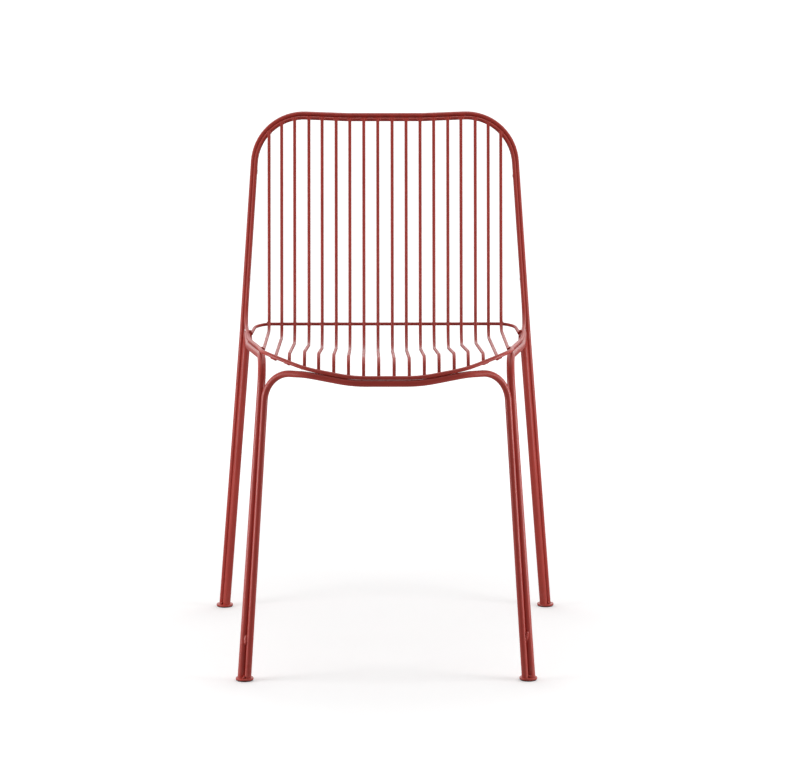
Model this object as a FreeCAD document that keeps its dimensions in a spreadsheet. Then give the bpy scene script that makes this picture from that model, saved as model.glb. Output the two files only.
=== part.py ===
import FreeCAD, Part
import Sketcher
import math
import os

# Metal bistro chair made of bent round rod and tube.
#
# Frame of reference (millimetres): X across the chair (positive to the right
# as seen from the front), Y from the front (negative) to the back (positive),
# Z up. The origin lies on the floor, under the centre of the chair.
#
# The chair is a set of closed or U-shaped hoops that lie side by side and are
# welded where they touch:
#   front leg hoop   two front legs and the bar under the front of the seat
#   side leg hoops   front leg, seat side rail and rear leg, one on each side
#   back hoop        two rear legs that rise into the outer frame of the back
#   seat/back ring   closed ring: seat rim and inner frame of the back
#   rear seat bow    cross bow behind the slat rods where seat and back meet
#   slat rods        eighteen bent rods that form the seat and the back
#   feet             round plates under each pair of legs, with glides below
# Each bent tube is described by a polygon of control points; every inner
# corner of that polygon is rounded by its bend radius.

doc = FreeCAD.newDocument("bistro_chair")
sheet = doc.addObject("Spreadsheet::Sheet", "Dimensions")

row = [1]


def put(alias, value, text):
    """One labelled driving dimension in the sheet."""
    sheet.set("A%d" % row[0], text)
    sheet.set("B%d" % row[0], "%g" % value)
    sheet.setAlias("B%d" % row[0], alias)
    row[0] += 1


def put_points(name, points, text):
    """A control polygon in the sheet: across, depth, height, bend radius."""
    for k, (px, py, pz, pr) in enumerate(points, 1):
        sheet.set("A%d" % row[0], "%s, point %d: across, depth, height, bend" % (text, k))
        for col, tag, v in (("B", "across", px), ("C", "depth", py),
                            ("D", "height", pz), ("E", "bend", pr)):
            sheet.set("%s%d" % (col, row[0]), "%g" % v)
            sheet.setAlias("%s%d" % (col, row[0]), "%s_%s_%d" % (name, tag, k))
        row[0] += 1


# tube and rod radii
put("front_hoop_radius", 5.0, "Front leg hoop, tube radius")
put("side_hoop_radius", 6.0, "Side leg hoop, tube radius")
put("back_hoop_radius", 4.0, "Back hoop, rod radius")
put("ring_radius", 3.0, "Seat and back ring, rod radius")
put("slat_radius", 2.5, "Slat rod radius")
put("bow_radius", 2.5, "Rear seat bow, rod radius")

# feet
put("foot_plate_radius", 13.3, "Foot plate radius")
put("foot_plate_base", 1.8, "Height of the underside of the foot plate")
put("foot_plate_top", 4.2, "Height of the top of the foot plate")
put("foot_plate_edge", 0.7, "Rounding of the foot plate's upper edge")
put("glide_radius", 12.6, "Glide radius")
put("glide_edge", 0.6, "Rounding of the glide's lower edge")
put("front_foot_across", 211.4, "Front feet, distance from the middle plane")
put("front_foot_depth", -224.3, "Front feet, position in depth")
put("rear_foot_across", 259.6, "Rear feet, distance from the middle plane")
put("rear_foot_depth", 229.4, "Rear feet, position in depth")

# weld beads
put("bead_ball_radius", 1.2, "Ball bead where rods cross, radius")
put("bead_bar_radius", 1.3, "Bar bead between two tubes, radius")
put("bead_bar_length", 8.0, "Bar bead between two tubes, length")
put("bead_bridge_radius", 2.6, "Ball bead where ring and back hoop stand apart, radius")
put("bead_bow_end_radius", 1.8, "Ball bead at the ends of the rear bow, radius")
put("bead_foot_radius", 1.6, "Ball bead between the legs above a foot plate, radius")

# control polygons, right half; the hoops that span the chair are mirrored
put_points("ring", [
    (50.0, -246.85, 461.2, 160.0), (118.0, -232.35, 472.0, 110.0),
    (184.5, -189.35, 490.5, 60.0), (189.0, -121.35, 484.0, 100.0),
    (212.0, 82.65, 462.0, 200.0), (220.4, 177.15, 475.0, 45.0),
    (198.9, 240.25, 794.3, 76.0), (60.0, 243.65, 788.3, 200.0)], "Seat and back ring")
put_points("front_hoop", [
    (206.5, -227.35, 4.0, 0.0), (177.2, -197.45, 461.0, 44.0),
    (118.0, -232.55, 463.7, 60.0), (50.0, -246.85, 453.0, 160.0)], "Front leg hoop")
put_points("side_hoop", [
    (216.0, -221.55, 4.0, 0.0), (181.78, -185.35, 481.65, 42.0),
    (212.0, 82.65, 452.75, 200.0), (217.4, 174.85, 465.6, 34.0),
    (256.6, 226.05, 4.0, 0.0)], "Side leg hoop")
put_points("back_hoop", [
    (264.4, 233.25, 4.0, 0.0), (226.9, 182.85, 449.0, 90.0),
    (203.0, 245.85, 799.7, 80.0), (60.0, 247.85, 794.1, 200.0)], "Back hoop")
put_points("bow", [
    (209.25, 114.65, 466.4, 0.0), (204.60, 156.95, 470.4, 30.0),
    (188.30, 176.30, 471.4, 25.0), (60.00, 176.51, 471.3, 300.0)], "Rear seat bow")

# slat rods from the outermost (1) to the innermost (9); each lies in a plane
# of constant X: distance from the middle, then top, knee, front crest and
# front end as depth and height, then the knee's bend radius
RODS = [
    (183.0, (230.61, 771.14), (169.08, 462.5), (-115.35, 481.7), (-131.35, 483.42), 25),
    (163.1, (234.09, 785.57), (166.91, 451.5), (-187.51, 484.0), (-198.51, 480.55), 22),
    (142.6, (236.11, 792.47), (165.23, 443), (-201.08, 489.4), (-212.08, 474.89), 33),
    (120.1, (237.06, 793.51), (164.63, 440), (-214.48, 494.5), (-224.23, 470.35), 38),
    (99.3, (237.57, 792.6), (163.7, 435.3), (-221.64, 493.0), (-231.24, 466.64), 41),
    (77.1, (238.11, 791.65), (163.65, 435), (-225.47, 492.0), (-235.96, 463.19), 43),
    (55.5, (238.54, 790.9), (163.39, 433.7), (-229.09, 490.2), (-240.04, 460.13), 44),
    (33.4, (238.54, 790.9), (163.05, 432), (-231.24, 487.8), (-241.78, 458.84), 45),
    (11.3, (238.54, 790.9), (162.85, 431), (-231.56, 487.0), (-241.83, 458.8), 45)]
put("crest_bend", 22.0, "Slat rods, bend radius of the front crest")
for k, (ax, top, knee, crest, end, kr) in enumerate(RODS, 1):
    sheet.set("A%d" % row[0], "Slat rod %d: across, top, knee, crest, end (depth, height), knee bend" % k)
    cells = [("across", ax), ("top_depth", top[0]), ("top_height", top[1]),
             ("knee_depth", knee[0]), ("knee_height", knee[1]),
             ("crest_depth", crest[0]), ("crest_height", crest[1]),
             ("end_depth", end[0]), ("end_height", end[1]), ("knee_bend", kr)]
    for col, (tag, v) in zip("BCDEFGHIJK", cells):
        sheet.set("%s%d" % (col, row[0]), "%g" % v)
        sheet.setAlias("%s%d" % (col, row[0]), "slat_%d_%s" % (k, tag))
    row[0] += 1
doc.recompute()


def dim(alias):
    return float(sheet.get(alias))


V = FreeCAD.Vector
UP = V(0, 0, 1)


def turn(direction, start=UP):
    return FreeCAD.Rotation(start, direction)


# ---------------------------------------------------------------- bent tubes

def polygon(name, count, side=1):
    """Control points of one half, read from the sheet."""
    pts = [V(side * dim("%s_across_%d" % (name, k)), dim("%s_depth_%d" % (name, k)),
             dim("%s_height_%d" % (name, k))) for k in range(1, count + 1)]
    bends = [dim("%s_bend_%d" % (name, k)) for k in range(1, count + 1)]
    return pts, bends


def both_halves(name, count):
    """Polygon that runs over both halves, from the right to the left."""
    pts, bends = polygon(name, count)
    left = [V(-p.x, p.y, p.z) for p in reversed(pts)]
    return pts + left, bends + list(reversed(bends))


def bent_wire(pts, bends):
    """Straight runs joined by tangent arcs at the inner control points."""
    edges = []
    last = pts[0]
    for k in range(1, len(pts) - 1):
        p = pts[k]
        a = (pts[k - 1] - p).normalize()
        b = (pts[k + 1] - p).normalize()
        half = a.getAngle(b) / 2.0
        if math.pi / 2.0 - half < 1e-4 or bends[k] < 1e-6:
            edges.append(Part.makeLine(last, p))
            last = p
            continue
        cut = bends[k] / math.tan(half)
        first, second = p + a * cut, p + b * cut
        axis = (a + b).normalize()
        middle = p + axis * (bends[k] / math.sin(half) - bends[k])
        if (first - last).Length > 1e-4:
            edges.append(Part.makeLine(last, first))
        edges.append(Part.Arc(first, middle, second).toShape())
        last = second
    edges.append(Part.makeLine(last, pts[-1]))
    return Part.Wire(edges)


def spine(name, pts, bends):
    obj = doc.addObject("Part::Feature", name)
    obj.Shape = bent_wire(pts, bends)
    obj.Placement = FreeCAD.Placement()
    return obj


def sweep(name, spine_obj, radius_alias):
    """Round section carried along a spine."""
    wire = spine_obj.Shape.Wires[0]
    edge = wire.OrderedEdges[0]
    start = wire.OrderedVertexes[0].Point
    par = edge.Curve.parameter(start)
    tangent = edge.tangentAt(par)
    section = doc.addObject("Part::Circle", name + "_section")
    section.setExpression("Radius", "Dimensions." + radius_alias)
    section.Placement = FreeCAD.Placement(start, turn(tangent))
    obj = doc.addObject("Part::Sweep", name)
    obj.Sections = [section]
    obj.Spine = (spine_obj, ["Edge%d" % (k + 1) for k in range(len(spine_obj.Shape.Edges))])
    obj.Solid = True
    obj.Frenet = False
    return obj


def longer(pts, first, last, extra=6.0):
    """Polygon with its first or last run carried on, to be trimmed level."""
    pts = list(pts)
    if first:
        pts[0] = pts[0] + (pts[0] - pts[1]).normalize() * extra
    if last:
        pts[-1] = pts[-1] + (pts[-1] - pts[-2]).normalize() * extra
    return pts


# the legs end level on the foot plates: everything below is trimmed away
trim = doc.addObject("Part::Box", "floor_trim")
trim.Length, trim.Width = 800.0, 800.0
trim.setExpression("Height", "Dimensions.foot_plate_top + 20")
trim.Placement = FreeCAD.Placement(V(-400, -400, -20), FreeCAD.Rotation())

made = []       # (object, node name)


def finish(obj, node):
    obj.Label = node
    made.append((obj, node))
    return obj


def level(name, swept):
    cut = doc.addObject("Part::Cut", name)
    cut.Base = swept
    cut.Tool = trim
    return cut


pts, bends = both_halves("front_hoop", 4)
front_spine = spine("front_hoop_spine", longer(pts, True, True), bends)
front_hoop = finish(level("front_leg_hoop", sweep("front_hoop_tube", front_spine, "front_hoop_radius")),
                    "front_leg_hoop")

side_hoops, side_spines = {}, {}
for side, word in ((-1, "left"), (1, "right")):
    pts, bends = polygon("side_hoop", 5, side)
    side_spines[side] = spine("side_hoop_spine_" + word, longer(pts, True, True), bends)
    side_hoops[side] = finish(
        level("side_leg_hoop_" + word,
              sweep("side_hoop_tube_" + word, side_spines[side], "side_hoop_radius")),
        "side_leg_hoop_" + word)

pts, bends = both_halves("back_hoop", 4)
back_spine = spine("back_hoop_spine", longer(pts, True, True), bends)
back_hoop = finish(level("back_hoop", sweep("back_hoop_tube", back_spine, "back_hoop_radius")), "back_hoop")

# closed ring: the right half is swept and joined to its mirror image
pts, bends = polygon("ring", 8)
middle_front = V(0, pts[0].y, pts[0].z)
middle_top = V(0, pts[-1].y, pts[-1].z)
ring_spine = spine("ring_spine", [middle_front] + pts + [middle_top], [0] + bends + [0])
ring_half = sweep("ring_half", ring_spine, "ring_radius")
ring_mirror = doc.addObject("Part::Mirroring", "ring_mirror")
ring_mirror.Source = ring_half
ring_mirror.Base = V(0, 0, 0)
ring_mirror.Normal = V(1, 0, 0)
ring = doc.addObject("Part::Fuse", "seat_back_ring")
ring.Base = ring_half
ring.Tool = ring_mirror
ring.Refine = True
finish(ring, "seat_back_ring")

pts, bends = both_halves("bow", 4)
bow_spine = spine("bow_spine", pts, bends)
bow = finish(sweep("rear_seat_bow", bow_spine, "bow_radius"), "rear_seat_bow")

# ---------------------------------------------------------------- slat rods


def plane_of(body, role):
    for item in body.Origin.OriginFeatures:
        if item.Role == role:
            return item


def slat(k, side, node):
    """Bent rod in a plane of constant X: back run, knee, seat run, crest, tip."""
    body = doc.addObject("PartDesign::Body", node)
    path = body.newObject("Sketcher::SketchObject", node + "_path")
    path.AttachmentSupport = [(plane_of(body, "YZ_Plane"), "")]
    path.MapMode = "FlatFace"
    tag = "slat_%d_" % k
    corner = [V(dim(tag + n + "_depth"), dim(tag + n + "_height"), 0)
              for n in ("top", "knee", "crest", "end")]
    bend = [0, dim(tag + "knee_bend"), dim("crest_bend"), 0]
    runs, arcs = [], []
    last = corner[0]
    for j in (1, 2):
        p = corner[j]
        a = (corner[j - 1] - p).normalize()
        b = (corner[j + 1] - p).normalize()
        half = a.getAngle(b) / 2.0
        cut = bend[j] / math.tan(half)
        first, second = p + a * cut, p + b * cut
        centre = p + (a + b).normalize() * (bend[j] / math.sin(half))
        runs.append((last, first))
        arcs.append((first, second, centre))
        last = second
    runs.append((last, corner[3]))

    def arc_of(first, second, centre, radius):
        a1 = math.atan2(first.y - centre.y, first.x - centre.x)
        a2 = math.atan2(second.y - centre.y, second.x - centre.x)
        sweep_angle = (a2 - a1) % (2 * math.pi)
        circle = Part.Circle(centre, V(0, 0, 1), radius)
        if sweep_angle < math.pi:
            return Part.ArcOfCircle(circle, a1, a1 + sweep_angle), False
        return Part.ArcOfCircle(circle, a2, a2 + (2 * math.pi - sweep_angle)), True

    ids = []
    g0 = path.addGeometry(Part.LineSegment(*runs[0]), False)
    arc1, flip1 = arc_of(*arcs[0], bend[1])
    g1 = path.addGeometry(arc1, False)
    g2 = path.addGeometry(Part.LineSegment(*runs[1]), False)
    arc2, flip2 = arc_of(*arcs[1], bend[2])
    g3 = path.addGeometry(arc2, False)
    g4 = path.addGeometry(Part.LineSegment(*runs[2]), False)
    c1 = path.addGeometry(Part.Point(corner[1]), True)
    c2 = path.addGeometry(Part.Point(corner[2]), True)
    s1, e1 = (2, 1) if flip1 else (1, 2)
    s2, e2 = (2, 1) if flip2 else (1, 2)
    add = path.addConstraint
    add(Sketcher.Constraint("Tangent", g0, 2, g1, s1))
    add(Sketcher.Constraint("Tangent", g1, e1, g2, 1))
    add(Sketcher.Constraint("Tangent", g2, 2, g3, s2))
    add(Sketcher.Constraint("Tangent", g3, e2, g4, 1))
    add(Sketcher.Constraint("PointOnObject", c1, 1, g0))
    add(Sketcher.Constraint("PointOnObject", c1, 1, g2))
    add(Sketcher.Constraint("PointOnObject", c2, 1, g2))
    add(Sketcher.Constraint("PointOnObject", c2, 1, g4))

    def bound(constraint, alias):
        n = add(constraint)
        path.setExpression("Constraints[%d]" % n, "Dimensions." + alias)

    bound(Sketcher.Constraint("Radius", g1, bend[1]), tag + "knee_bend")
    bound(Sketcher.Constraint("Radius", g3, bend[2]), "crest_bend")
    for (g, pos), n, p in (((g0, 1), "top", corner[0]), ((c1, 1), "knee", corner[1]),
                           ((c2, 1), "crest", corner[2]), ((g4, 2), "end", corner[3])):
        bound(Sketcher.Constraint("DistanceX", -1, 1, g, pos, p.x), tag + n + "_depth")
        bound(Sketcher.Constraint("DistanceY", -1, 1, g, pos, p.y), tag + n + "_height")
    doc.recompute()

    section = body.newObject("Sketcher::SketchObject", node + "_section")
    section.AttachmentSupport = [(path, "Edge1")]
    section.MapMode = "NormalToEdge"
    section.MapPathParameter = 0.0
    ring_line = section.addGeometry(Part.Circle(V(0, 0, 0), V(0, 0, 1), dim("slat_radius")), False)
    section.addConstraint(Sketcher.Constraint("Coincident", ring_line, 3, -1, 1))
    n = section.addConstraint(Sketcher.Constraint("Radius", ring_line, dim("slat_radius")))
    section.setExpression("Constraints[%d]" % n, "Dimensions.slat_radius")
    pipe = body.newObject("PartDesign::AdditivePipe", node + "_pipe")
    pipe.Profile = section
    pipe.Spine = (path, ["Edge1", "Edge2", "Edge3", "Edge4", "Edge5"])
    body.setExpression("Placement.Base.x", "Dimensions.%sacross * %d" % (tag, side))
    return body, path


slats = {}
order = [(k, -1) for k in range(1, 10)] + [(k, 1) for k in range(9, 0, -1)]
for number, (k, side) in enumerate(order, 1):
    node = "slat_rod_%02d" % number
    body, path = slat(k, side, node)
    slats[(k, side)] = (body, path)
    finish(body, node)
doc.recompute()

# ---------------------------------------------------------------- feet


def disc(node, radius_alias, base_alias, top_text, edge_alias, top_edge, where, side):
    body = doc.addObject("PartDesign::Body", node)
    outline = body.newObject("Sketcher::SketchObject", node + "_outline")
    outline.AttachmentSupport = [(plane_of(body, "XY_Plane"), "")]
    outline.MapMode = "FlatFace"
    g = outline.addGeometry(Part.Circle(V(0, 0, 0), V(0, 0, 1), dim(radius_alias)), False)
    outline.addConstraint(Sketcher.Constraint("Coincident", g, 3, -1, 1))
    n = outline.addConstraint(Sketcher.Constraint("Radius", g, dim(radius_alias)))
    outline.setExpression("Constraints[%d]" % n, "Dimensions." + radius_alias)
    pad = body.newObject("PartDesign::Pad", node + "_pad")
    pad.Profile = outline
    pad.setExpression("Length", top_text)
    doc.recompute()
    want = pad.Shape.BoundBox.ZMax if top_edge else pad.Shape.BoundBox.ZMin
    names = ["Edge%d" % (i + 1) for i, e in enumerate(pad.Shape.Edges)
             if e.Length > 10 and abs(e.BoundBox.ZMax - want) < 1e-6 and abs(e.BoundBox.ZMin - want) < 1e-6]
    rounding = body.newObject("PartDesign::Fillet", node + "_rounding")
    rounding.Base = (pad, names)
    rounding.setExpression("Radius", "Dimensions." + edge_alias)
    body.setExpression("Placement.Base.x", "Dimensions.%s_foot_across * %d" % (where, side))
    body.setExpression("Placement.Base.y", "Dimensions.%s_foot_depth" % where)
    if base_alias:
        body.setExpression("Placement.Base.z", "Dimensions." + base_alias)
    return body


plates = {}
for where in ("front", "rear"):
    for side, word in ((-1, "left"), (1, "right")):
        node = "foot_plate_%s_%s" % (where, word)
        plates[(where, side)] = finish(
            disc(node, "foot_plate_radius", "foot_plate_base",
                 "Dimensions.foot_plate_top - Dimensions.foot_plate_base",
                 "foot_plate_edge", True, where, side), node)
        node = "glide_%s_%s" % (where, word)
        finish(disc(node, "glide_radius", None, "Dimensions.foot_plate_base",
                    "glide_edge", False, where, side), node)
doc.recompute()

# ---------------------------------------------------------------- weld beads
# Each bead is a small round solid that lies in the groove between the two
# tubes that it joins and touches both: a ball where rods cross, a short round
# ended bar where tubes run side by side.

CLEAR = 0.03


def world(shape, side_across):
    moved = shape.copy()
    moved.translate(V(side_across, 0, 0))
    return moved


def nearest(a, b):
    dist, pairs, _ = a.distToShape(b)
    return pairs[0]


def direction_at(wire, point):
    """Unit tangent of a wire at the place nearest to a point."""
    best, result = None, None
    for edge in wire.Edges:
        d, pairs, _ = edge.distToShape(Part.Vertex(point))
        if best is None or d < best - 1e-9:
            best = d
            result = edge.tangentAt(edge.Curve.parameter(pairs[0][0]))
    return V(result).normalize()


def off_line(c, p, d):
    w = c - p
    return (w - d * w.dot(d)).Length


def seat_ball(p, da, ra, q, db, rb, side, r, clear=CLEAR, curves=(None, None)):
    """Centre of a ball of radius r that rests in the groove between a tube
    along da at p and a tube along db at q, on the given side. Where a tube is
    bent there, its centre line is given in curves and measured directly."""
    u = (q - p).normalize()
    w = V(side - u * side.dot(u)).normalize()
    s, t = ra, 0.75 * (ra + rb) / 2.0 + r

    def away(c, foot, along, curve, bent):
        if bent and curve is not None:
            return Part.Vertex(c).distToShape(curve)[0]
        return off_line(c, foot, along)

    def miss(s, t, bent):
        c = p + u * s + w * t
        return (away(c, p, da, curves[0], bent) - ra - r - clear,
                away(c, q, db, curves[1], bent) - rb - r - clear)

    for bent, rounds in ((False, 40), (True, 6)):
        if bent and curves == (None, None):
            break
        for _ in range(rounds):
            f1, f2 = miss(s, t, bent)
            if abs(f1) + abs(f2) < 1e-5:
                break
            e = 1e-3
            a1, a2 = miss(s + e, t, bent)
            b1, b2 = miss(s, t + e, bent)
            j11, j21, j12, j22 = (a1 - f1) / e, (a2 - f2) / e, (b1 - f1) / e, (b2 - f2) / e
            det = j11 * j22 - j12 * j21
            s, t = s - (f1 * j22 - f2 * j12) / det, t - (f2 * j11 - f1 * j21) / det
    if t < 0 or max(abs(f) for f in miss(s, t, curves != (None, None))) > 5e-3:
        raise RuntimeError("a weld bead found no seat")
    return p + u * s + w * t


def ball(name, centre, radius_alias):
    obj = doc.addObject("Part::Sphere", name)
    obj.setExpression("Radius", "Dimensions." + radius_alias)
    obj.Placement = FreeCAD.Placement(centre, FreeCAD.Rotation())
    return obj


def bar(name, centre, along):
    """Short bar with rounded ends, centred in a groove."""
    length = dim("bead_bar_length")
    core = doc.addObject("Part::Cylinder", name + "_core")
    core.setExpression("Radius", "Dimensions.bead_bar_radius")
    core.setExpression("Height", "Dimensions.bead_bar_length")
    rot = turn(along)
    core.Placement = FreeCAD.Placement(centre - along * (length / 2.0), rot)
    obj = doc.addObject("Part::Fillet", name)
    obj.Base = core
    r = dim("bead_bar_radius") - 0.1
    obj.Edges = [(1, r, r), (3, r, r)]
    return obj


def weld_group(node, beads):
    obj = doc.addObject("Part::Compound", node)
    obj.Links = beads
    return finish(obj, node)


ring_wire = Part.Wire(Part.sortEdges(ring_spine.Shape.Edges)[0])
ring_left = ring_wire.mirror(V(0, 0, 0), V(1, 0, 0))
ring_path = {1: ring_wire, -1: ring_left}
rA, rB, rC, rD, rE, rS = (dim("front_hoop_radius"), dim("side_hoop_radius"), dim("back_hoop_radius"),
                          dim("ring_radius"), dim("bow_radius"), dim("slat_radius"))
slat_wires = {key: world(path.Shape, key[1] * dim("slat_%d_across" % key[0]))
              for key, (body, path) in slats.items()}
back_box = Part.makeBox(800, 800, 200, V(-400, -400, 700))
front_box = Part.makeBox(800, 300, 200, V(-400, -400, 400))
small, bar_r, foot_r = dim("bead_ball_radius"), dim("bead_bar_radius"), dim("bead_foot_radius")

top_beads, tip_beads, bow_beads = [], [], []
for number, (k, side) in enumerate(order, 1):
    wire = slat_wires[(k, side)]
    # slat top on the front of the upper rail
    p, q = nearest(wire.common(back_box), ring_path[side].common(back_box))
    for way in (-1, 1):
        c = seat_ball(p, direction_at(wire, p), rS, q, direction_at(ring_path[side], q), rD,
                      V(way, 0, 0), small, CLEAR, (None, ring_path[side]))
        top_beads.append(ball("bead_top_%d_%s" % (number, "ab"[way > 0]), c, "bead_ball_radius"))
    # slat tip on the back of the front rim; the outermost rod lies beside it
    p, q = nearest(wire.common(front_box), ring_path[side].common(front_box))
    for way, hint in (("a", V(-1, 0, 0)), ("b", V(1, 0, 0))) if k > 1 else (("a", V(0, 0, 1)),):
        c = seat_ball(p, direction_at(wire, p), rS, q, direction_at(ring_path[side], q), rD,
                      hint, small, CLEAR, (None, ring_path[side]))
        tip_beads.append(ball("bead_tip_%d_%s" % (number, way), c, "bead_ball_radius"))
    # slat on the rear seat bow
    p, q = nearest(wire, bow_spine.Shape)
    for way in (-1, 1):
        c = seat_ball(p, direction_at(wire, p), rS, q, direction_at(bow_spine.Shape, q), rE,
                      V(way, 0, 0), small, CLEAR, (None, bow_spine.Shape))
        bow_beads.append(ball("bead_bow_%d_%s" % (number, "ab"[way > 0]), c, "bead_ball_radius"))

weld_group("welds_slat_tops", top_beads)
weld_group("welds_slat_tips", tip_beads)


def between(name, wire_a, ra, wire_b, rb, anchor, side):
    """Bar in one groove between neighbouring tubes, near an anchor."""
    p = nearest(wire_a, Part.Vertex(anchor))[0]
    q = nearest(wire_b, Part.Vertex(p))[0]
    p = nearest(wire_a, Part.Vertex(q))[0]
    da, db = direction_at(wire_a, p), direction_at(wire_b, q)
    c = seat_ball(p, da, ra, q, db, rb, side, bar_r, 3 * CLEAR, (wire_a, wire_b))
    if da.dot(db) < 0:
        db = db * -1
    return bar(name, c, (da + db).normalize())


def bridge(name, wire_a, ra, wire_b, rb, anchor, side, radius_alias="bead_bridge_radius"):
    """Ball where the two tubes stand a little apart or run askew."""
    p = nearest(wire_a, Part.Vertex(anchor))[0]
    q = nearest(wire_b, Part.Vertex(p))[0]
    c = seat_ball(p, direction_at(wire_a, p), ra, q, direction_at(wire_b, q), rb, side,
                  dim(radius_alias), CLEAR, (wire_a, wire_b))
    return ball(name, c, radius_alias)


frame_beads, foot_beads = [], []
top_z = dim("foot_plate_top")
for side, word in ((-1, "left"), (1, "right")):
    sp = side_spines[side].Shape
    rp = ring_path[side]

    def front_leg(zz):
        return V(side * (206.5 - 0.064 * zz), -227.35 + 0.0654 * zz, zz)

    def rear_leg(zz):
        return V(side * (264.4 - 0.084 * zz), 233.25 - 0.113 * zz, zz)

    inward, outward, front, back = V(-side, 0, 0), V(side, 0, 0), V(0, -1, 0), V(0, 1, 0)
    frame_beads += [
        between("bead_front_leg_low_a_" + word, front_spine.Shape, rA, sp, rB, front_leg(64), front + outward),
        between("bead_front_leg_low_b_" + word, front_spine.Shape, rA, sp, rB, front_leg(64), back + inward),
        between("bead_front_leg_high_" + word, front_spine.Shape, rA, sp, rB, front_leg(400), back + inward),
        between("bead_rear_leg_low_" + word, back_spine.Shape, rC, sp, rB, rear_leg(60), back + inward),
        between("bead_rear_leg_mid_" + word, back_spine.Shape, rC, sp, rB, rear_leg(250), back + inward),
        between("bead_rear_leg_high_" + word, back_spine.Shape, rC, sp, rB, rear_leg(425), back + inward)]
    for j, yy in enumerate((-92.0, 0.0, 110.0)):
        frame_beads.append(between("bead_side_rail_%s_%d" % (word, j), rp, rD, sp, rB,
                                   V(side * (200 + 0.11 * yy), yy, 473), inward))
    frame_beads += [
        bridge("bead_back_low_" + word, rp, rD, back_spine.Shape, rC,
               V(side * 217, 188, 540), back * 0.4 + inward),
        between("bead_back_high_" + word, rp, rD, back_spine.Shape, rC,
                V(side * 206, 232, 700), back + inward)]
    for j, xx in enumerate((62.0, 86.0)):
        frame_beads.append(between("bead_front_rim_%s_%d" % (word, j), rp, rD, front_spine.Shape, rA,
                                   V(side * xx, -244, 463), back))
    for j, xx in enumerate((45.0, 100.0)):
        frame_beads.append(between("bead_top_rail_%s_%d" % (word, j), rp, rD, back_spine.Shape, rC,
                                   V(side * xx, 242, 790), V(0, 0, -1)))
    # bow end along the inner side of the seat rim
    bow_beads.append(bridge("bead_bow_end_" + word, bow_spine.Shape, rE, rp, rD,
                            V(side * 208.8, 118.5, 467.0), V(0, 0, 1), "bead_bow_end_radius"))
    # leg pairs just above their foot plates
    for where, wire, r_in in (("front", front_spine.Shape, rA), ("rear", back_spine.Shape, rC)):
        plate = V(side * dim(where + "_foot_across"), dim(where + "_foot_depth"), top_z + foot_r)
        for way, hint in (("a", front + outward), ("b", back + inward)):
            p = nearest(wire, Part.Vertex(plate))[0]
            q = nearest(sp, Part.Vertex(p))[0]
            c = seat_ball(p, direction_at(wire, p), r_in, q, direction_at(sp, q), rB, hint, foot_r, 3 * CLEAR)
            c.z = top_z + foot_r + CLEAR
            foot_beads.append(ball("bead_foot_%s_%s_%s" % (where, word, way), c, "bead_foot_radius"))

weld_group("welds_rear_bow", bow_beads)
weld_group("welds_frame", frame_beads)
weld_group("welds_feet", foot_beads)

doc.recompute()

# ---------------------------------------------------------------- checks, files

for obj in doc.Objects:
    for state in obj.State:
        if state in ("Invalid", "Error"):
            raise RuntimeError("%s is in state %s" % (obj.Name, state))
for obj, node in made:
    shape = obj.Shape
    if shape.isNull() or not shape.isValid() or not shape.Solids:
        raise RuntimeError("%s has no valid solid" % node)

os.makedirs("parts", exist_ok=True)
for obj, node in made:
    obj.Shape.exportStep("parts/%s.step" % node)

total = None
for obj, node in made:
    box = obj.Shape.BoundBox
    if total is None:
        total = FreeCAD.BoundBox(box)
    else:
        total.add(box)
print("nodes", len(made), "solids", sum(len(o.Shape.Solids) for o, n in made))
print("box X %.2f..%.2f Y %.2f..%.2f Z %.2f..%.2f" % (
    total.XMin, total.XMax, total.YMin, total.YMax, total.ZMin, total.ZMax))
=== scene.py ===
import bpy, math
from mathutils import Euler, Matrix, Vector, noise as field
from mathutils.bvhtree import BVHTree


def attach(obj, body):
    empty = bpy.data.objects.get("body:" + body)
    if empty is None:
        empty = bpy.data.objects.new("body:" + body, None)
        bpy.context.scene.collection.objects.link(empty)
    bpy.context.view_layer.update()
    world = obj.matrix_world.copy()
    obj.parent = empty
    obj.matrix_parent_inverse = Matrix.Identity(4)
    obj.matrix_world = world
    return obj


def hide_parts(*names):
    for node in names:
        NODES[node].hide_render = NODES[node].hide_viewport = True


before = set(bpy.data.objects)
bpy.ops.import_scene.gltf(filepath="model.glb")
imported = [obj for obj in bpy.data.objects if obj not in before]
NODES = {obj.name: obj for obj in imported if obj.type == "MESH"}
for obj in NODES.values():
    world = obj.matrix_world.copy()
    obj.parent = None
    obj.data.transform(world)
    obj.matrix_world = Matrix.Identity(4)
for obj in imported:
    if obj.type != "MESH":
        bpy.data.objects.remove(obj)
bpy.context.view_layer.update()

SCENE = bpy.context.scene

# ------------------------------------------------------------------ helpers


def new_material(name):
    m = bpy.data.materials.new(name)
    m.use_nodes = True
    nt = m.node_tree
    nt.nodes.clear()
    out = nt.nodes.new("ShaderNodeOutputMaterial")
    bsdf = nt.nodes.new("ShaderNodeBsdfPrincipled")
    nt.links.new(bsdf.outputs["BSDF"], out.inputs["Surface"])
    return m, nt, bsdf


def noise(nt, coords, scale, detail=2.0, rough=0.5, distort=0.0):
    n = nt.nodes.new("ShaderNodeTexNoise")
    n.inputs["Scale"].default_value = scale
    n.inputs["Detail"].default_value = detail
    n.inputs["Roughness"].default_value = rough
    n.inputs["Distortion"].default_value = distort
    nt.links.new(coords, n.inputs["Vector"])
    return n.outputs["Fac"]


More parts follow.
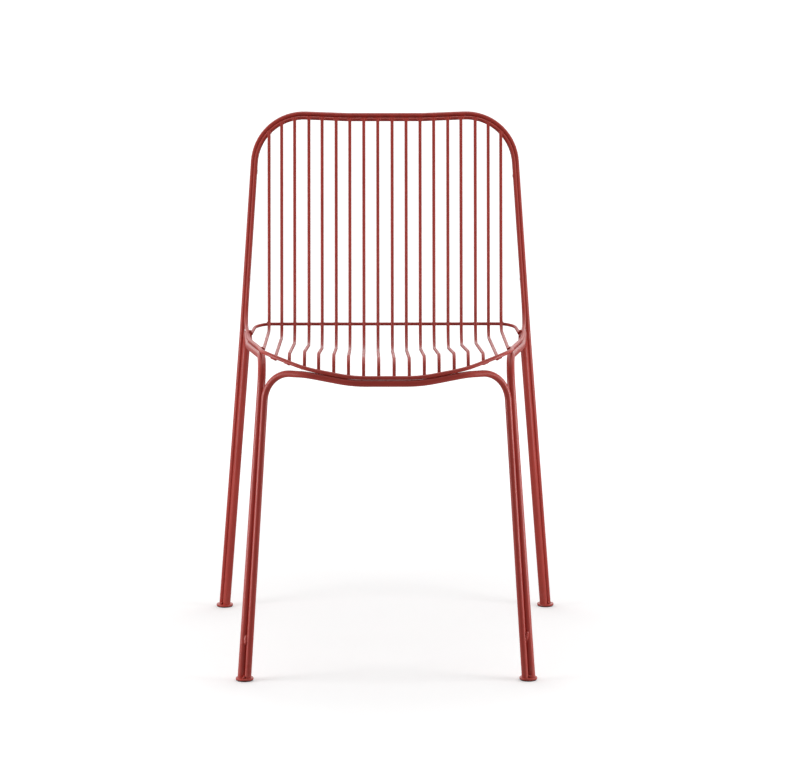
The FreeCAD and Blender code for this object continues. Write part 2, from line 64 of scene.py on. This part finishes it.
def ramp(nt, fac, stops):
    r = nt.nodes.new("ShaderNodeValToRGB")
    while len(r.color_ramp.elements) < len(stops):
        r.color_ramp.elements.new(0.5)
    for e, (p, c) in zip(r.color_ramp.elements, stops):
        e.position = p
        e.color = (c[0], c[1], c[2], 1.0)
    nt.links.new(fac, r.inputs["Fac"])
    return r.outputs["Color"]


def fit(nt, fac, a, b, lo, hi):
    m = nt.nodes.new("ShaderNodeMapRange")
    m.inputs["From Min"].default_value = a
    m.inputs["From Max"].default_value = b
    m.inputs["To Min"].default_value = lo
    m.inputs["To Max"].default_value = hi
    nt.links.new(fac, m.inputs["Value"])
    return m.outputs["Result"]


def math_node(nt, op, a, b):
    m = nt.nodes.new("ShaderNodeMath")
    m.operation = op
    for i, v in enumerate((a, b)):
        if isinstance(v, (int, float)):
            m.inputs[i].default_value = v
        else:
            nt.links.new(v, m.inputs[i])
    return m.outputs[0]


def mix(nt, fac, a, b, mode="MIX"):
    m = nt.nodes.new("ShaderNodeMix")
    m.data_type = "RGBA"
    m.blend_type = mode
    if isinstance(fac, (int, float)):
        m.inputs[0].default_value = fac
    else:
        nt.links.new(fac, m.inputs[0])
    for i, v in ((6, a), (7, b)):
        if isinstance(v, tuple):
            m.inputs[i].default_value = (v[0], v[1], v[2], 1.0)
        else:
            nt.links.new(v, m.inputs[i])
    return m.outputs[2]


def bump(nt, height, strength, distance, normal=None):
    b = nt.nodes.new("ShaderNodeBump")
    b.inputs["Strength"].default_value = strength
    b.inputs["Distance"].default_value = distance
    nt.links.new(height, b.inputs["Height"])
    if normal is not None:
        nt.links.new(normal, b.inputs["Normal"])
    return b.outputs["Normal"]


# ------------------------------------------------------------------ finishes
RED = (0.450, 0.0430, 0.0290)


def powder_coat(name, shift=(0.0, 0.0, 0.0), tone=1.0, weld=False):
    """Satin powder coat over steel: fine orange peel, faint mottling in the
    pigment, thicker and smoother over a weld, dusty near the floor."""
    m, nt, bsdf = new_material(name)
    tc = nt.nodes.new("ShaderNodeTexCoord")
    mp = nt.nodes.new("ShaderNodeMapping")
    mp.inputs["Location"].default_value = shift
    nt.links.new(tc.outputs["Object"], mp.inputs["Vector"])
    co = mp.outputs["Vector"]
    base = tuple(c * tone for c in RED)
    broad = noise(nt, co, 14.0, 3.0, 0.55)
    col = ramp(nt, broad, [(0.32, tuple(c * f for c, f in zip(base, (0.93, 0.90, 0.90)))),
                           (0.68, tuple(c * f for c, f in zip(base, (1.06, 1.10, 1.12))))])
    grain = noise(nt, co, 1500.0, 2.0, 0.6)
    speck = fit(nt, grain, 0.3, 0.7, 0.0, 1.0)
    col = mix(nt, math_node(nt, "MULTIPLY", speck, 0.10), col,
              tuple(min(1.0, c * f) for c, f in zip(base, (1.35, 1.7, 1.8))))
    # faint handling marks: narrow bands where a stretched noise peaks
    mp2 = nt.nodes.new("ShaderNodeMapping")
    mp2.inputs["Location"].default_value = (3.1 + shift[0], 1.7, 0.4)
    mp2.inputs["Scale"].default_value = (1.0, 1.0, 0.35)
    nt.links.new(tc.outputs["Object"], mp2.inputs["Vector"])
    marks = fit(nt, noise(nt, mp2.outputs["Vector"], 95.0, 4.0, 0.62, 0.6), 0.66, 0.76, 0.0, 1.0)
    col = mix(nt, math_node(nt, "MULTIPLY", marks, 0.16), col,
              tuple(c * f for c, f in zip(base, (0.62, 0.60, 0.60))))
    # light dust on the lowest part of the legs
    sep = nt.nodes.new("ShaderNodeSeparateXYZ")
    nt.links.new(tc.outputs["Object"], sep.inputs["Vector"])
    low = fit(nt, sep.outputs["Z"], 0.0, 0.05, 1.0, 0.0)
    dusty = math_node(nt, "MULTIPLY", low, fit(nt, noise(nt, co, 160.0, 4.0, 0.65), 0.4, 0.75, 0.0, 0.22))
    col = mix(nt, dusty, col, (0.36, 0.24, 0.21))
    nt.links.new(col, bsdf.inputs["Base Color"])
    rough = fit(nt, noise(nt, co, 60.0, 3.0, 0.6), 0.3, 0.7, 0.30, 0.38)
    rough = math_node(nt, "ADD", rough, math_node(nt, "MULTIPLY", dusty, 0.5))
    rough = math_node(nt, "ADD", rough, math_node(nt, "MULTIPLY", marks, 0.08))
    nt.links.new(rough, bsdf.inputs["Roughness"])
    bsdf.inputs["IOR"].default_value = 1.5
    bsdf.inputs["Specular IOR Level"].default_value = 0.5
    peel = noise(nt, co, 420.0, 2.0, 0.5)
    fine = noise(nt, co, 1700.0, 2.0, 0.6)
    n = bump(nt, peel, 0.22, 0.00025)
    n = bump(nt, fine, 0.16, 0.00010, n)
    if weld:
        wave = nt.nodes.new("ShaderNodeTexWave")
        wave.wave_type = "BANDS"
        wave.bands_direction = "DIAGONAL"
        wave.inputs["Scale"].default_value = 150.0
        wave.inputs["Distortion"].default_value = 2.5
        wave.inputs["Detail"].default_value = 2.0
        nt.links.new(co, wave.inputs["Vector"])
        n = bump(nt, wave.outputs["Fac"], 0.35, 0.0003, n)
        lumps = noise(nt, co, 330.0, 2.0, 0.5)
        n = bump(nt, lumps, 0.4, 0.0005, n)
    nt.links.new(n, bsdf.inputs["Normal"])
    return m


def glide_plastic(name):
    """Moulded dark plastic, matt, with a scuffed and dusty lower edge."""
    m, nt, bsdf = new_material(name)
    tc = nt.nodes.new("ShaderNodeTexCoord")
    co = tc.outputs["Object"]
    col = ramp(nt, noise(nt, co, 220.0, 4.0, 0.6),
               [(0.3, (0.050, 0.020, 0.018)), (0.7, (0.078, 0.030, 0.026))])
    scuff = fit(nt, noise(nt, co, 620.0, 5.0, 0.7), 0.55, 0.75, 0.0, 0.45)
    col = mix(nt, scuff, col, (0.16, 0.12, 0.11))
    nt.links.new(col, bsdf.inputs["Base Color"])
    nt.links.new(fit(nt, noise(nt, co, 400.0, 3.0, 0.6), 0.3, 0.7, 0.5, 0.68), bsdf.inputs["Roughness"])
    nt.links.new(bump(nt, noise(nt, co, 1400.0, 3.0, 0.6), 0.25, 0.0002), bsdf.inputs["Normal"])
    return m


def give(node, material):
    ob = NODES[node]
    ob.data.materials.clear()
    ob.data.materials.append(material)


MATS = {}
for i, node in enumerate(sorted(NODES)):
    if node.startswith("glide_"):
        if "glide" not in MATS:
            MATS["glide"] = glide_plastic("glide_plastic")
        give(node, MATS["glide"])
    elif node.startswith("welds_"):
        if "weld" not in MATS:
            MATS["weld"] = powder_coat("powder_coat_weld", (5.0, 2.0, 1.0), 0.94, weld=True)
        give(node, MATS["weld"])
    elif node.startswith("slat_"):
        if "slat" not in MATS:
            MATS["slat"] = powder_coat("powder_coat_slats", (0.0, 0.0, 0.0), 1.0)
        give(node, MATS["slat"])
    else:
        if "frame" not in MATS:
            MATS["frame"] = powder_coat("powder_coat_frame", (1.3, 0.6, 0.2), 1.0)
        give(node, MATS["frame"])

# ------------------------------------------------------------------ welds
# each bead is a rippled, uneven puddle sunk into the two tubes whose groove
# it fills; the groove is found from the nearest points of the tubes


def surfaces():
    """One search tree per tube, rod and foot plate."""
    trees = {}
    for n, ob in NODES.items():
        if not n.startswith(("welds_", "glide_")):
            me, mw = ob.data, ob.matrix_world
            trees[n] = BVHTree.FromPolygons([mw @ v.co for v in me.vertices],
                                            [tuple(p.vertices) for p in me.polygons])
    return trees


def islands(ob):
    """The separate beads of a node, each as a list of points."""
    me, mw = ob.data, ob.matrix_world
    key, same = {}, []
    for v in me.vertices:
        p = mw @ v.co
        same.append(key.setdefault((round(p.x, 6), round(p.y, 6), round(p.z, 6)), len(key)))
    pts = [Vector(k) for k in key]
    up = list(range(len(pts)))

    def root(i):
        while up[i] != i:
            up[i] = up[up[i]]
            i = up[i]
        return i

    for f in me.polygons:
        vs = [same[i] for i in f.vertices]
        for b in vs[1:]:
            up[root(b)] = root(vs[0])
    groups = {}
    for i, p in enumerate(pts):
        groups.setdefault(root(i), []).append(p)
    return list(groups.values())


def bead_frame(pts, trees):
    """Centre, small radius, length, and the groove's own axes: along, out."""
    c = sum(pts, Vector()) / len(pts)
    far = max(pts, key=lambda p: (p - c).length)
    reach = (far - c).length
    along = (far - c).normalized()
    thin = max((p - c - along * (p - c).dot(along)).length for p in pts)
    hits = []
    for t in trees.values():
        loc, nor, _, d = t.find_nearest(c, 0.009)
        if loc is not None:
            n = (c - loc).normalized() if d > 1e-7 else nor
            hits.append((d, n if n.dot(nor) > 0 else -n))
    hits.sort(key=lambda h: h[0])
    n1 = hits[0][1] if hits else Vector((0, 0, -1))
    n2 = next((h[1] for h in hits[1:] if h[1].dot(n1) < 0.95), n1)
    if reach < 1.6 * thin:                       # a ball: the groove gives the direction
        along = n1.cross(n2)
        if along.length < 0.2:
            along = n1.orthogonal()
        along.normalize()
        reach = thin
    out = n1 + n2
    out -= along * out.dot(along)
    if out.length < 0.25:
        out = n1.cross(along)
    return c, thin, reach, along, out.normalized()


def bead(verts, faces, c, r, half, along, out, wide, seed, nu=20, nv=22):
    """A closed lump: blunt ends, low crown, crescent ripples and a rough skin."""
    side = along.cross(out)
    first = len(verts)
    for i in range(1, nv):
        th = math.pi * i / nv
        x, rad = math.cos(th), math.sin(th) ** 0.72
        for j in range(nu):
            ph = 2 * math.pi * j / nu
            y, z = rad * math.cos(ph), rad * math.sin(ph)
            ripple = 1.0 + 0.065 * math.cos(2 * math.pi * (x * half / 0.00115 + 0.35 * abs(y)) + seed)
            h = (0.78 if z > 0 else 1.35) * r * z * (ripple if z > 0 else 1.0)
            p = c + along * (x * half) + side * (y * wide * r * ripple) + out * h
            n = (side * y + out * z)
            p += n * (0.17 * r * field.noise(p * 520.0 + Vector((seed, 0, 0)))
                      + 0.07 * r * field.noise(p * 1500.0))
            verts.append(p)
    tip_a, tip_b = len(verts), len(verts) + 1
    verts.append(c + along * half)
    verts.append(c - along * half)
    for i in range(nv - 2):
        for j in range(nu):
            a, b = first + i * nu + j, first + i * nu + (j + 1) % nu
            faces.append((a, b, b + nu, a + nu))
    last = first + (nv - 2) * nu
    for j in range(nu):
        k = (j + 1) % nu
        faces.append((tip_a, first + k, first + j))
        faces.append((tip_b, last + j, last + k))


def run_of(tree, c):
    """The direction in which a tube runs past a point: square to its normals there."""
    loc, n0, _, _ = tree.find_nearest(c)
    u = n0.orthogonal().normalized()
    w = n0.cross(u)
    run = Vector()
    for k in range(12):
        a = k * math.pi / 6
        t = n0.cross(tree.find_nearest(loc + n0 * 0.002 + (u * math.cos(a) + w * math.sin(a)) * 0.005)[1])
        run += t if t.dot(run) >= 0 else -t
    return run.normalized()


def weld_piece(node, trees, material):
    verts, faces = [], []
    for k, pts in enumerate(sorted(islands(NODES[node]), key=lambda g: tuple(g[0]))):
        c, r, reach, along, out = bead_frame(pts, trees)
        vary = 1.0 + 0.16 * field.noise(c * 90.0 + Vector((0.37, 0.11, 0.73)))
        if reach > 1.6 * r:
            half, wide = reach * 1.12, 1.25
        elif node == "welds_slat_tips" and 0.135 < abs(c.x) < 0.170:
            along = run_of(trees["seat_back_ring"], c)  # long runs, along the rim past the outer rod ends
            out = c - trees["seat_back_ring"].find_nearest(c)[0]
            out = (out - along * out.dot(along)).normalized()
            half, wide = r * 4.6, 1.30
        elif node == "welds_feet":
            half, wide = r * 2.6, 1.45
        else:
            half, wide = r * 1.9, 1.30
        bead(verts, faces, c, r, half * vary, along, out, wide, 1.7 * k)
    me = bpy.data.meshes.new(node.replace("welds_", "bead_"))
    me.from_pydata(verts, [], faces)
    me.validate()
    me.polygons.foreach_set("use_smooth", [True] * len(me.polygons))
    me.update()
    ob = bpy.data.objects.new(me.name, me)
    SCENE.collection.objects.link(ob)
    me.materials.append(material)
    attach(ob, "root")
    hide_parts(node)
    return ob


TREES = surfaces()
for node in sorted(NODES):
    if node.startswith("welds_"):
        weld_piece(node, TREES, MATS["weld"])

# ------------------------------------------------------------------ floor


def stage_mesh(name, verts, faces):
    me = bpy.data.meshes.new(name)
    me.from_pydata(verts, [], faces)
    ob = bpy.data.objects.new(name, me)
    SCENE.collection.objects.link(ob)
    return ob


ring = [(60.0 * math.cos(2 * math.pi * k / 96), 60.0 * math.sin(2 * math.pi * k / 96), 0.0) for k in range(96)]
floor = stage_mesh("studio_floor", ring, [tuple(range(96))])
fm, fnt, fb = new_material("studio_floor_white")
ftc = fnt.nodes.new("ShaderNodeTexCoord")
fcol = ramp(fnt, noise(fnt, ftc.outputs["Object"], 3.0, 2.0), [(0.3, (0.86, 0.86, 0.86)), (0.7, (0.865, 0.865, 0.865))])
fnt.links.new(fcol, fb.inputs["Base Color"])
fb.inputs["Roughness"].default_value = 0.9
fb.inputs["Specular IOR Level"].default_value = 0.0
# a white sweep: brighter away from the chair, and a darker sheet for bounced light
fb.inputs["Emission Color"].default_value = (1.0, 1.0, 1.0, 1.0)
fsep = fnt.nodes.new("ShaderNodeVectorMath")
fsep.operation = "LENGTH"
fnt.links.new(ftc.outputs["Object"], fsep.inputs[0])
fnt.links.new(fit(fnt, fsep.outputs["Value"], 0.35, 1.6, 0.18, 0.62), fb.inputs["Emission Strength"])
fdim = fnt.nodes.new("ShaderNodeBsdfDiffuse")
fdim.inputs["Color"].default_value = (0.38, 0.38, 0.38, 1.0)
fpath = fnt.nodes.new("ShaderNodeLightPath")
fmix = fnt.nodes.new("ShaderNodeMixShader")
fnt.links.new(fpath.outputs["Is Camera Ray"], fmix.inputs[0])
fnt.links.new(fdim.outputs["BSDF"], fmix.inputs[1])
fnt.links.new(fb.outputs["BSDF"], fmix.inputs[2])
fnt.links.new(fmix.outputs["Shader"], next(n for n in fnt.nodes if n.type == "OUTPUT_MATERIAL").inputs["Surface"])
floor.data.materials.append(fm)

# ------------------------------------------------------------------ light
# white studio: bright sky and surroundings, a little less light from in front
world = bpy.data.worlds.new("studio")
SCENE.world = world
world.use_nodes = True
wnt = world.node_tree
wnt.nodes.clear()
wout = wnt.nodes.new("ShaderNodeOutputWorld")
wbg = wnt.nodes.new("ShaderNodeBackground")
wtc = wnt.nodes.new("ShaderNodeTexCoord")
wsep = wnt.nodes.new("ShaderNodeSeparateXYZ")
wnt.links.new(wtc.outputs["Generated"], wsep.inputs["Vector"])
level = math_node(wnt, "ADD", fit(wnt, wsep.outputs["Y"], -1.0, 0.0, 0.25, 0.76),
                  fit(wnt, wsep.outputs["Y"], 0.0, 1.0, 0.0, 0.75))
level = math_node(wnt, "MULTIPLY", level, fit(wnt, wsep.outputs["Z"], 0.0, 1.0, 1.0, 0.75))
dip = math_node(wnt, "MULTIPLY", fit(wnt, wsep.outputs["Y"], -1.0, 0.0, 0.8, 0.0),
                fit(wnt, wsep.outputs["Z"], 0.0, 1.0, 0.0, 1.0))
level = math_node(wnt, "MULTIPLY", level, math_node(wnt, "SUBTRACT", 1.0, dip))
# past the floor's edge the camera sees plain white, as it does on the floor
wpath = wnt.nodes.new("ShaderNodeLightPath")
level = math_node(wnt, "ADD", math_node(wnt, "MULTIPLY", level,
                                        math_node(wnt, "SUBTRACT", 1.0, wpath.outputs["Is Camera Ray"])),
                  wpath.outputs["Is Camera Ray"])
wnt.links.new(level, wbg.inputs["Strength"])
wbg.inputs["Color"].default_value = (1.0, 1.0, 1.0, 1.0)
wnt.links.new(wbg.outputs["Background"], wout.inputs["Surface"])


def area(name, loc, target, size, energy, size_y=None, color=(1, 1, 1)):
    ld = bpy.data.lights.new(name, "AREA")
    ld.shape = "RECTANGLE" if size_y else "SQUARE"
    ld.size = size
    if size_y:
        ld.size_y = size_y
    ld.energy = energy
    ld.color = color
    ob = bpy.data.objects.new(name, ld)
    SCENE.collection.objects.link(ob)
    ob.location = loc
    ob.rotation_euler = (Vector(target) - Vector(loc)).to_track_quat("-Z", "Y").to_euler()
    return ob


area("overhead_softbox", (0.0, 0.25, 2.6), (0.0, 0.0, 0.4), 1.8, 12.0, 1.4)
for side, sx in (("left", -1.0), ("right", 1.0)):
    box = area("side_softbox_" + side, (1.25 * sx, -0.35, 0.35), (0.0, -0.1, 0.30), 0.5, 7.5, 0.7)
    box.visible_camera = False

# ------------------------------------------------------------------ camera
CY = 0.00265          # the chair is centred on its overall box
cam_data = bpy.data.cameras.new("camera")
cam = bpy.data.objects.new("camera", cam_data)
SCENE.collection.objects.link(cam)
cam_data.sensor_fit = "HORIZONTAL"
cam_data.sensor_width = 36.0
cam_data.lens = 157.98
cam_data.clip_start = 0.05
cam_data.clip_end = 300.0
cam.location = (-0.0244, -5.1982 + CY, 1.3581)
cam.rotation_euler = Euler((math.radians(90.0 - 10.464), 0.0, math.radians(-0.3842)), "XYZ")
SCENE.camera = cam
SCENE.view_settings.view_transform = "Standard"
SCENE.view_settings.look = "None"

bpy.context.view_layer.update()
